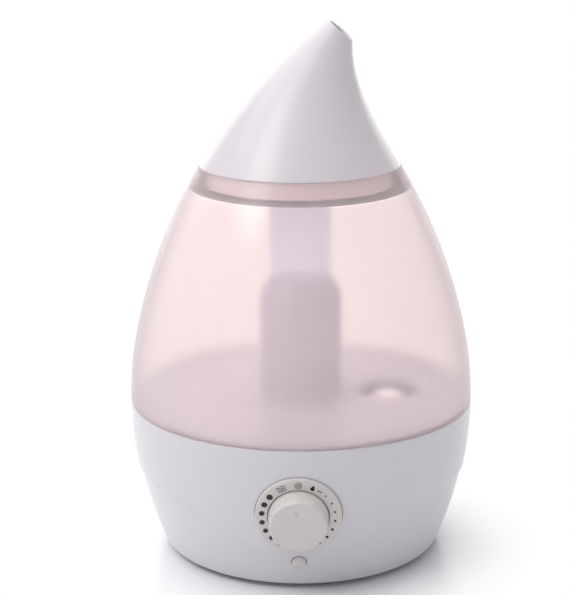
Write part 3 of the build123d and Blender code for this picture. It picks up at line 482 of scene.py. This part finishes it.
for vertex in casingShape.verts:
    # slides the outside's rows along the crease, sets back what is below it, rounds rim and foot
    across, depth, row = vertex.co / mm
    radius = math.hypot(across, depth)
    if abs(radius - casingRadius(row)) > 0.05:
        continue
    height = row
    for again in range(3):
        crease = creaseHeight(across / radius * casingRadius(height))
        if row <= softRows[0]:
            low = crease - casing["creaseSoft"] / 2
            share = (row - casing["foot"]) / (softRows[0] - casing["foot"])
            height = casing["foot"] + (low - casing["foot"]) * share
        elif row >= softRows[-1]:
            high = crease + casing["creaseSoft"] / 2
            share = (casing["top"] - row) / (casing["top"] - softRows[-1])
            height = casing["top"] - (casing["top"] - high) * share
        else:
            height = crease + row - casing["creaseRow"]
    share = min(max((crease - height) / casing["creaseSoft"] + 0.5, 0.0), 1.0)
    inset = casing["creaseStep"] * share * share * (3 - 2 * share)
    for edge, fillet in ((casing["top"] - row, casing["rimFillet"]),
                         (row - casing["foot"], casing["footFillet"])):
        if edge < fillet:
            height = row
            inset += fillet - math.sqrt(fillet ** 2 - (fillet - max(edge, 0.0)) ** 2)
    place = (casingRadius(height) - inset) / radius
    vertex.co = Vector((across * place, depth * place, height)) * mm
casingPiece = linkShape(casingShape, "casing_moulding")

buttonAxis = Vector(joints["button_press"]["axis"])
buttonPlace = facingPlace((0, -casingRadius(casing["buttonHeight"], casing["creaseStep"]) * mm,
                           casing["buttonHeight"] * mm), -buttonAxis)
inletPlace = facingPlace((0, casingRadius(casing["inletHeight"], casing["creaseStep"]) * mm,
                          casing["inletHeight"] * mm), (0, 1, 0))
cutWith(casingPiece, [
    linkShape(drumShape(casing["dialHole"], -12, 12, dialPlace, 128), "dialCutter"),
    linkShape(drumShape(casing["buttonHole"], -6, 6, buttonPlace), "buttonCutter"),
    linkShape(drumShape(casing["inletHole"], -12, 12, inletPlace, 48), "inletCutter"),
    linkShape(drumShape(casing["inletFlat"], 0, 5, inletPlace, 48), "flatCutter"),
])
finishPiece(casingPiece, "base", finishes["casing_plastic"], ["base_casing"])

# water tank: one thin dome with a round recess in its mouth
tank = {
    "lowArc": 205.0, "arcChange": 135.0, "mouthHeight": 237.5, "mouthRadius": 60.4, "wall": 2.2,
    "cupRadius": 58.7, "cupFloor": 224.5, "cupTop": 226.5, "tubeRadius": 19.1, "rimFillet": 0.5,
    "seamFillet": 0.6,
}
lowCentre = Vector((casing["seamRadius"] - tank["lowArc"], casing["seamHeight"]))
lean = math.asin((tank["arcChange"] - casing["seamHeight"]) / tank["lowArc"])
inward = Vector((-math.cos(lean), -math.sin(lean)))
arcMeeting = lowCentre - inward * tank["lowArc"]
toMouth = Vector((tank["mouthRadius"], tank["mouthHeight"])) - arcMeeting
highArc = toMouth.length_squared / (2 * toMouth.dot(inward))
highCentre = arcMeeting + inward * highArc


def tankRadius(height, inset=0.0):
    centre, arc = (lowCentre, tank["lowArc"]) if height <= tank["arcChange"] else (highCentre, highArc)
    return centre.x + math.sqrt((arc - inset) ** 2 - (height - centre.y) ** 2)


print("stage: water tank")
tankOutside = arcAt(casing["seamHeight"], tank["mouthHeight"], 110, tankRadius)
tankInside = arcAt(casing["seamHeight"], tank["cupFloor"], 60,
                   lambda height: tankRadius(height, tank["wall"]))
tankOutline = roundedOutline(
    [(tankOutside[0][0], tankOutside[0][1], tank["seamFillet"])] + tankOutside[2:-2]
    + [(tankOutside[-1][0], tankOutside[-1][1], tank["rimFillet"]),
       (tank["cupRadius"], tank["mouthHeight"], tank["rimFillet"]),
       (tank["cupRadius"], tank["cupTop"], 0.8),
       (tank["tubeRadius"], tank["cupTop"]), (tank["tubeRadius"], tank["cupFloor"]),
       (tankInside[-1][0], tankInside[-1][1], 1.5)]
    + tankInside[-4:0:-1] + [tankInside[0]])
tankPiece = linkShape(spunShape(tankOutline, 256), "tank_moulding")
finishPiece(tankPiece, "tank", finishes["tank_plastic"], ["tank_shell"])

# tank floor with its skirt, mist sleeve and filler neck
tankFloor = {
    "low": 93.2, "high": 95.6, "deckTop": 86.0, "skirtOuter": 100.6, "skirtInner": 98.4,
    "sleeveRadius": 25.2,
    "sleeveTop": 158.0, "throat": 8.0, "sleeveWall": 1.8, "neckRadius": 21.3, "neckDrop": 12.2,
    "neckWall": 2.8,
}
print("stage: tank floor")
floorRim = tankRadius(tankFloor["low"], tank["wall"]) - 0.1
sleeveInner = tankFloor["sleeveRadius"] - tankFloor["sleeveWall"]
throatTop = tankFloor["sleeveTop"] + tankFloor["throat"]
floorOutline = roundedOutline([
    (floorRim, tankFloor["low"]), (floorRim, tankFloor["high"]),
    (tankFloor["sleeveRadius"], tankFloor["high"], 1.5),
    (tankFloor["sleeveRadius"], tankFloor["sleeveTop"], 2.0),
    (tank["tubeRadius"] + 1.8, throatTop, 0.5), (tank["tubeRadius"] + 0.1, throatTop, 0.3),
    (tank["tubeRadius"] + 0.1, tankFloor["sleeveTop"], 0.5), (sleeveInner, tankFloor["sleeveTop"], 1.0),
    (sleeveInner, tankFloor["low"], 0.8), (tankFloor["skirtInner"], tankFloor["low"], 0.8),
    (tankFloor["skirtInner"], tankFloor["deckTop"], 0.5),
    (tankFloor["skirtOuter"], tankFloor["deckTop"], 0.5),
    (tankFloor["skirtOuter"], tankFloor["low"]),
])
floorPiece = linkShape(spunShape(floorOutline, 224), "tank_base")
capLow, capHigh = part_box("tank_cap")
neckX = (capLow.x + capHigh.x) / 2 / mm
neckInner = tankFloor["neckRadius"] - tankFloor["neckWall"]
neckLow = tankFloor["low"] - tankFloor["neckDrop"]
neckOutline = roundedOutline([
    (tankFloor["neckRadius"], tankFloor["high"] - 0.4), (neckInner - 1, tankFloor["high"] - 0.4),
    (neckInner - 1, neckLow + 2), (neckInner, neckLow, 0.4), (tankFloor["neckRadius"], neckLow, 0.6),
])
neckShape = spunShape(neckOutline, 96)
bmesh.ops.translate(neckShape, verts=neckShape.verts, vec=(neckX * mm, 0, 0))
neckPlace = Matrix.Translation((neckX * mm, 0, 0))


def joinWith(piece, other):
    # makes one solid of two that overlap
    joint = piece.modifiers.new("join", "BOOLEAN")
    joint.operation = "UNION"
    joint.solver = "EXACT"
    joint.object = other
    bpy.context.view_layer.update()
    piece.data = bpy.data.meshes.new_from_object(piece.evaluated_get(bpy.context.evaluated_depsgraph_get()))
    piece.modifiers.clear()
    bpy.data.meshes.remove(other.data)


joinWith(floorPiece, linkShape(neckShape, "neckPart"))
cutWith(floorPiece, [linkShape(drumShape(neckInner, neckLow - 1, tankFloor["high"] + 1, neckPlace, 96),
                               "neckCutter")])
finishPiece(floorPiece, "tank", shadedFloorStyrene, ["tank_floor"])

# mist tube, plugged into the sleeve's throat
tubeLow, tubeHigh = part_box("mist_tube")
tubeWall = 1.8
tubeOutline = roundedOutline([
    (tank["tubeRadius"] - 0.02, tubeLow.z / mm, 0.5), (tank["tubeRadius"] - 0.02, tubeHigh.z / mm, 0.5),
    (tank["tubeRadius"] - tubeWall, tubeHigh.z / mm, 0.5),
    (tank["tubeRadius"] - tubeWall, tubeLow.z / mm, 0.5),
])
tubePiece = linkShape(spunShape(tubeOutline, 128), "mist_chimney")
finishPiece(tubePiece, "tank", sleeveStyrene, ["mist_tube"])

# nozzle seat: a skirt in the tank's mouth, and the ring that the nozzle turns on
print("stage: nozzle")
seat = {"low": 226.7, "skirtRadius": 58.3, "skirtWall": 2.0, "ringRadius": 54.9, "ringTop": 241.9,
        "ringWall": 1.9,
        "top": 237.9, "floor": 2.0, "collarOuter": 23.0, "collarInner": 21.0, "collarTop": 234.7}
seatOutline = roundedOutline([
    (seat["skirtRadius"], seat["low"], 0.8), (seat["skirtRadius"], seat["top"], 0.5),
    (seat["ringRadius"], seat["top"]),
    (seat["ringRadius"], seat["ringTop"], 0.5),
    (seat["ringRadius"] - seat["ringWall"], seat["ringTop"], 0.5),
    (seat["ringRadius"] - seat["ringWall"], seat["low"] + seat["floor"], 1.0),
    (seat["collarOuter"], seat["low"] + seat["floor"], 0.6), (seat["collarOuter"], seat["collarTop"], 0.4),
    (seat["collarInner"], seat["collarTop"], 0.4), (seat["collarInner"], seat["low"], 0.4),
    (seat["ringRadius"], seat["low"], 0.4), (seat["ringRadius"], seat["top"] - 2.0),
    (seat["skirtRadius"] - seat["skirtWall"], seat["top"] - 2.0),
    (seat["skirtRadius"] - seat["skirtWall"], seat["low"], 0.5),
])
seatPiece = linkShape(spunShape(seatOutline, 192), "seat_moulding")
finishPiece(seatPiece, "nozzle_seat", finishes["nozzle_plastic"], ["nozzle_seat"])

# nozzle: round sections that shrink and lean over, cut off at a slant
nozzle = {"low": 237.9, "high": 323.4, "wall": 2.4, "lean": 24.6, "leanPower": 2.6, "baseRadius": 60.4,
          "outlet": (23.4, 0, 318.5), "outletLean": 41.0, "lipFillet": 0.8, "ringOuter": 57.9,
          "ringInner": 55.2,
          "sections": 72, "steps": 160}


def nozzleSection(height, inset=0.0):
    t = (height - nozzle["low"]) / (nozzle["high"] - nozzle["low"])
    radius = nozzle["baseRadius"] - 52.9 * t - 5.3 * t ** 2 + 6.5 * t ** 3
    return nozzle["lean"] * t ** nozzle["leanPower"], radius - inset


def nozzleSkin(inset, low):
    # stack of rings, bridged into a skin that runs past the outlet
    skin = bmesh.new()
    loops = []
    for step in range(nozzle["sections"] + 1):
        height = low + (nozzle["high"] + 2.5 - low) * step / nozzle["sections"]
        middle, radius = nozzleSection(height, inset)
        made = bmesh.ops.create_circle(skin, segments=nozzle["steps"], radius=radius * mm,
                                       matrix=Matrix.Translation((middle * mm, 0, height * mm)))
        loops.append(list({edge for vertex in made["verts"] for edge in vertex.link_edges}))
    for below, above in zip(loops, loops[1:]):
        bmesh.ops.bridge_loops(skin, edges=below + above)
    return skin


outletLean = math.radians(nozzle["outletLean"])
outletNormal = Vector((math.sin(outletLean), 0, math.cos(outletLean)))
nozzleShape = nozzleSkin(0.0, nozzle["low"])
bmesh.ops.bisect_plane(nozzleShape, geom=nozzleShape.verts[:] + nozzleShape.edges[:] + nozzleShape.faces[:],
                       dist=1e-7, plane_co=Vector(nozzle["outlet"]) * mm, plane_no=outletNormal,
                       clear_outer=True)
bmesh.ops.remove_doubles(nozzleShape, verts=nozzleShape.verts, dist=1e-6)
bmesh.ops.recalc_face_normals(nozzleShape, faces=nozzleShape.faces)
if sum(face.normal.dot(face.calc_center_median() - Vector((0, 0, 0.27))) for face in nozzleShape.faces) < 0:
    bmesh.ops.reverse_faces(nozzleShape, faces=nozzleShape.faces)
nozzlePiece = linkShape(nozzleShape, "mist_nozzle")
wall = nozzlePiece.modifiers.new("wall", "SOLIDIFY")
wall.thickness = nozzle["wall"] * mm
wall.offset = -1.0
wall.use_even_offset = True
lips = nozzlePiece.modifiers.new("lips", "BEVEL")
lips.width = nozzle["lipFillet"] * mm
lips.segments = 3
lips.limit_method = "ANGLE"
lips.angle_limit = math.radians(50)
finishPiece(nozzlePiece, "nozzle", finishes["nozzle_plastic"], ["nozzle"])

# ring inside the nozzle's foot, which turns on the seat
ringOutline = roundedOutline([
    (nozzle["ringOuter"], nozzle["low"] + 0.1, 0.3), (nozzle["ringOuter"], nozzle["low"] + 2.4, 0.3),
    (nozzle["ringInner"], nozzle["low"] + 2.4, 0.4), (nozzle["ringInner"], nozzle["low"] + 0.1, 0.4),
])
ringPiece = linkShape(spunShape(ringOutline, 128), "nozzle_ring")
finishPiece(ringPiece, "nozzle", finishes["nozzle_plastic"])

# dial plate, its printed scale and the status lens
print("stage: dial")
dial = {"radius": 25.0, "edge": 0.7, "recess": 17.8, "recessDepth": 3.5, "wallDepth": 10.4, "flange": 27.0,
        "hub": 3.5, "scaleRadius": 21.1, "lensRadius": 2.3, "firstRadius": 0.5, "lastRadius": 1.85,
        "dotCount": 17,
        "firstDot": 47.5, "lastDot": 309.5, "inkLow": -0.02, "inkHigh": 0.03,
        "webDepth": 5.5, "webRadius": 23.2, "lensGap": 0.02, "lensTop": 0.25, "lensCrown": 0.3}
plateOutline = roundedOutline([
    (dial["flange"], -dial["wallDepth"], 0.4), (dial["flange"], 2.0 - dial["wallDepth"], 0.3),
    (dial["radius"], 2.0 - dial["wallDepth"]), (dial["radius"], 0, dial["edge"]), (dial["recess"], 0, 0.4),
    (dial["recess"], -dial["recessDepth"], 0.4), (dial["hub"], -dial["recessDepth"]),
    (dial["hub"], -dial["webDepth"]),
    (dial["webRadius"], -dial["webDepth"]), (dial["webRadius"], -dial["wallDepth"]),
])
plateShape = spunShape(plateOutline, 160)
bmesh.ops.transform(plateShape, matrix=dialPlace, verts=plateShape.verts)
platePiece = linkShape(plateShape, "dial_face")
lensPlace = dialPlace @ Matrix.Translation((0, dial["scaleRadius"] * mm, 0))
cutWith(platePiece, [linkShape(drumShape(dial["lensRadius"], -8, 2, lensPlace, 48), "lensCutter")])
finishPiece(platePiece, "base", finishes["dial_plastic"], ["dial_plate"])

lensReach = dial["lensRadius"] - dial["lensGap"]
lensOutline = roundedOutline([
    (0.0, -dial["webDepth"]), (lensReach, -dial["webDepth"]), (lensReach, dial["lensTop"], 0.35),
    (0.0, dial["lensCrown"]),
])
lensShape = spunShape(lensOutline, 48)
bmesh.ops.transform(lensShape, matrix=lensPlace, verts=lensShape.verts)
lensPiece = linkShape(lensShape, "status_lens")
finishPiece(lensPiece, "base", finishes["clear_lens"], ["indicator_lens"])

printShape = bmesh.new()


def printDot(across, upward, radius, steps=20):
    # a round spot of ink, proud of the plate by its own thickness
    place = dialPlace @ Matrix.Translation((across * mm, upward * mm,
                                            (dial["inkLow"] + dial["inkHigh"]) / 2 * mm))
    bmesh.ops.create_cone(printShape, cap_ends=True, segments=steps, radius1=radius * mm,
                          radius2=radius * mm,
                          depth=(dial["inkHigh"] - dial["inkLow"]) * mm, matrix=place)


for number in range(dial["dotCount"]):
    share = number / (dial["dotCount"] - 1)
    angle = math.radians(dial["firstDot"] + (dial["lastDot"] - dial["firstDot"]) * share)
    printDot(dial["scaleRadius"] * math.sin(angle), dial["scaleRadius"] * math.cos(angle),
             dial["firstRadius"] + (dial["lastRadius"] - dial["firstRadius"]) * share, 28)
# generic signs beside the lens: three waves of mist on the left, a drop and a short bar on the right
sign = {"angle": 27, "waveRadius": 0.27, "waveSteps": 15, "waveStep": 0.95, "waveRise": 0.42,
        "waveGap": 1.4,
        "barRadius": 0.32, "barSteps": 7, "barStep": 1.1, "barAngle": 35}
for row in range(3):
    for step in range(sign["waveSteps"]):
        middleStep = step - (sign["waveSteps"] - 1) / 2
        angle = math.radians(middleStep * sign["waveStep"] - sign["angle"])
        reach = dial["scaleRadius"] + (row - 1) * sign["waveGap"] + sign["waveRise"] * math.sin(step * 0.9)
        printDot(reach * math.sin(angle), reach * math.cos(angle), sign["waveRadius"], 10)
dropAngle = math.radians(sign["angle"] - 4)
for rise, radius in ((-0.6, 1.25), (0.25, 0.95), (0.95, 0.6), (1.5, 0.28)):
    reach = dial["scaleRadius"] + rise
    printDot(reach * math.sin(dropAngle), reach * math.cos(dropAngle), radius, 24)
for step in range(sign["barSteps"]):
    angle = math.radians(sign["barAngle"] + (step - (sign["barSteps"] - 1) / 2) * sign["barStep"])
    printDot(dial["scaleRadius"] * math.sin(angle), dial["scaleRadius"] * math.cos(angle),
             sign["barRadius"], 10)
printPiece = linkShape(printShape, "dial_scale")
finishPiece(printPiece, "base", scaleInk)

# knob: a round foot in the plate's recess, and a grip with twelve flats that lean in
print("stage: knob and button")
knob = {"radius": 17.3, "foot": -2.9, "top": 11.0, "flats": 12, "flatLow": 18.4, "flatHigh": 16.1,
        "shoulder": 2.5,
        "faceRadius": 16.6, "edge": 0.9, "hollow": 15.3, "hollowTop": 7.5, "dimple": 9.6,
        "dimpleRadius": 2.65,
        "dimpleDepth": 0.9}
gripHeights = [knob["foot"] + (knob["top"] - knob["edge"] - knob["foot"]) * step / 40 for step in range(41)]
edgeHeights = [knob["top"] - knob["edge"] * (1 - math.sin(step * math.pi / 16)) for step in range(1, 9)]
knobOutline = [(knob["hollow"], knob["foot"])] + [(knob["radius"], height)
                                                  for height in gripHeights + edgeHeights] + [
    (knob["radius"] * share, knob["top"]) for share in (0.93, 0.6, 0.3)] + [(0.0, knob["top"]),
    (0.0, knob["hollowTop"]),
    (knob["hollow"] - 0.8, knob["hollowTop"]), (knob["hollow"], knob["hollowTop"] - 0.8)]
knobShape = spunShape(knobOutline, 240)
for vertex in knobShape.verts:
    across, depth, height = vertex.co / mm
    radius = math.hypot(across, depth)
    if radius < knob["hollow"] + 0.2:
        continue
    rise = max(height - knob["shoulder"], 0.0) / (knob["top"] - knob["shoulder"])
    roundReach = knob["radius"] - (0.35 if height > knob["shoulder"] else 0.0) * min(rise * 20, 1) \
        - (knob["radius"] - 0.35 - knob["faceRadius"]) * rise
    climb = (height - knob["foot"]) / (knob["top"] - knob["foot"])
    flat = knob["flatLow"] + (knob["flatHigh"] - knob["flatLow"]) * climb
    part = turn / knob["flats"]
    offside = (math.atan2(depth, across) % part) - part / 2
    reach = min(roundReach, flat / math.cos(offside))
    drop = height - (knob["top"] - knob["edge"])
    if drop > 0:
        reach -= knob["edge"] - math.sqrt(max(knob["edge"] ** 2 - drop ** 2, 0.0))
    vertex.co.xy *= reach * min(radius / knob["radius"], 1.0) / radius
bmesh.ops.transform(knobShape, matrix=dialPlace, verts=knobShape.verts)
knobPiece = linkShape(knobShape, "knob_grip")
bowl = (knob["dimpleRadius"] ** 2 + knob["dimpleDepth"] ** 2) / (2 * knob["dimpleDepth"])
dimpleShape = bmesh.new()
bmesh.ops.create_uvsphere(dimpleShape, u_segments=48, v_segments=32, radius=bowl * mm,
                          matrix=dialPlace @ Matrix.Translation(
    (0, knob["dimple"] * mm, (knob["top"] - knob["dimpleDepth"] + bowl) * mm)))
cutWith(knobPiece, [linkShape(dimpleShape, "dimpleCutter")])
finishPiece(knobPiece, "knob", finishes["dial_plastic"], ["knob"], 20)

button = {"radius": 4.25, "flange": 5.4, "flangeLow": -4.6, "flangeHigh": -3.2, "top": 2.2, "dome": 1.5}
buttonOutline = [(0.0, button["flangeLow"]), (button["flange"], button["flangeLow"]),
                 (button["flange"], button["flangeHigh"]), (button["radius"], button["flangeHigh"])]
buttonOutline += [(button["radius"] * math.cos(step * math.pi / 24) ** 0.6 if step < 12 else 0.0,
                   button["top"] - button["dome"] + button["dome"] * math.sin(step * math.pi / 24))
                   for step in range(13)]
buttonShape = spunShape(buttonOutline, 64)
bmesh.ops.transform(buttonShape, matrix=buttonPlace, verts=buttonShape.verts)
buttonPiece = linkShape(buttonShape, "light_button_cap")
finishPiece(buttonPiece, "light_button", finishes["dial_plastic"], ["light_button"])

# floor, lights and camera
print("stage: studio")
studio = {
    "floorSize": 24.0, "floorColour": "#f2f1f4", "floorShine": 0.35, "floorHazeMm": 90,
    "floorRoughness": (0.16, 0.24), "floorFade": (0.085, 0.17),  # metres from the middle: board, then white
    "lookAt": (0, 0, 0.16), "fillLevel": 0.47,
    "keyPlace": (-0.85, -0.6, 1.2), "keySize": (0.6, 0.6), "keyPower": 3.4,
    "backdropPlace": (0, 1.3, 0.7), "backdropSize": (2.4, 1.6), "backdropPower": 14,
    "overheadFrom": (-0.35, 0.1, 1), "overheadPower": 1.75, "overheadSpread": 75,
    "cameraDistance": 1.001, "cameraHeight": 0.4261, "cameraAcross": -0.0095,
    "pitch": 15.18, "roll": -0.39, "orbit": 1.5, "lens": 102.45, "sensor": 36,
}
floorShape = bmesh.new()
bmesh.ops.create_grid(floorShape, x_segments=8, y_segments=8, size=studio["floorSize"] / 2)
floorPlane = linkShape(floorShape, "studio_floor")
floorPlane.data.materials.append(studioFloor("floorBoardPale", {
    "colour": studio["floorColour"], "shine": studio["floorShine"], "hazeMm": studio["floorHazeMm"],
    "roughness": studio["floorRoughness"], "fade": studio["floorFade"]}))


def addSoftLight(name, place, target, size, power):
    # a rectangular softbox that looks at a point
    data = bpy.data.lights.new(name, "AREA")
    data.shape = "RECTANGLE"
    data.size, data.size_y = size
    data.energy = power
    light = bpy.data.objects.new(name, data)
    light.location = place
    light.rotation_euler = (Vector(target) - Vector(place)).to_track_quat("-Z", "Y").to_euler()
    scene.collection.objects.link(light)
    return light


addSoftLight("key_softbox", studio["keyPlace"], studio["lookAt"], studio["keySize"], studio["keyPower"])
backGlow = addSoftLight("backdrop_glow", studio["backdropPlace"], studio["lookAt"], studio["backdropSize"],
                        studio["backdropPower"])
backGlow.visible_camera = False
overhead = bpy.data.objects.new("overhead_diffuser", bpy.data.lights.new("overhead_diffuser", "SUN"))
overhead.data.energy = studio["overheadPower"]
overhead.data.angle = math.radians(studio["overheadSpread"])
overhead.rotation_euler = Vector(studio["overheadFrom"]).to_track_quat("Z", "Y").to_euler()
scene.collection.objects.link(overhead)
world = bpy.data.worlds.new("studioSurround")
world.use_nodes = True
backdrop = world.node_tree.nodes["Background"]
backdrop.inputs["Color"].default_value = linearColour("#ffffff")
seenBy = addNode(world.node_tree, "ShaderNodeLightPath")
through = addNode(world.node_tree, "ShaderNodeMath", {"operation": "MAXIMUM"},
                  {0: seenBy.outputs["Is Camera Ray"], 1: seenBy.outputs["Is Transmission Ray"]})
level = addNode(world.node_tree, "ShaderNodeMapRange", {"To Min": studio["fillLevel"], "To Max": 1.0},
                {"Value": through.outputs[0]})
world.node_tree.links.new(level.outputs["Result"], backdrop.inputs["Strength"])
scene.world = world
scene.view_settings.view_transform = "Standard"

camera = bpy.data.objects.new("studio_camera", bpy.data.cameras.new("studio_camera"))
camera.data.sensor_width = studio["sensor"]
camera.data.lens = studio["lens"]
orbit = Matrix.Rotation(math.radians(studio["orbit"]), 3, "Z")
camera.location = orbit @ Vector((studio["cameraAcross"], -studio["cameraDistance"],
                                  studio["cameraHeight"]))
camera.rotation_euler = (orbit @ Matrix.Rotation(math.radians(90 - studio["pitch"]), 3, "X")
                         @ Matrix.Rotation(math.radians(studio["roll"]), 3, "Z")).to_euler()
scene.collection.objects.link(camera)
scene.camera = camera

print("stage: done")
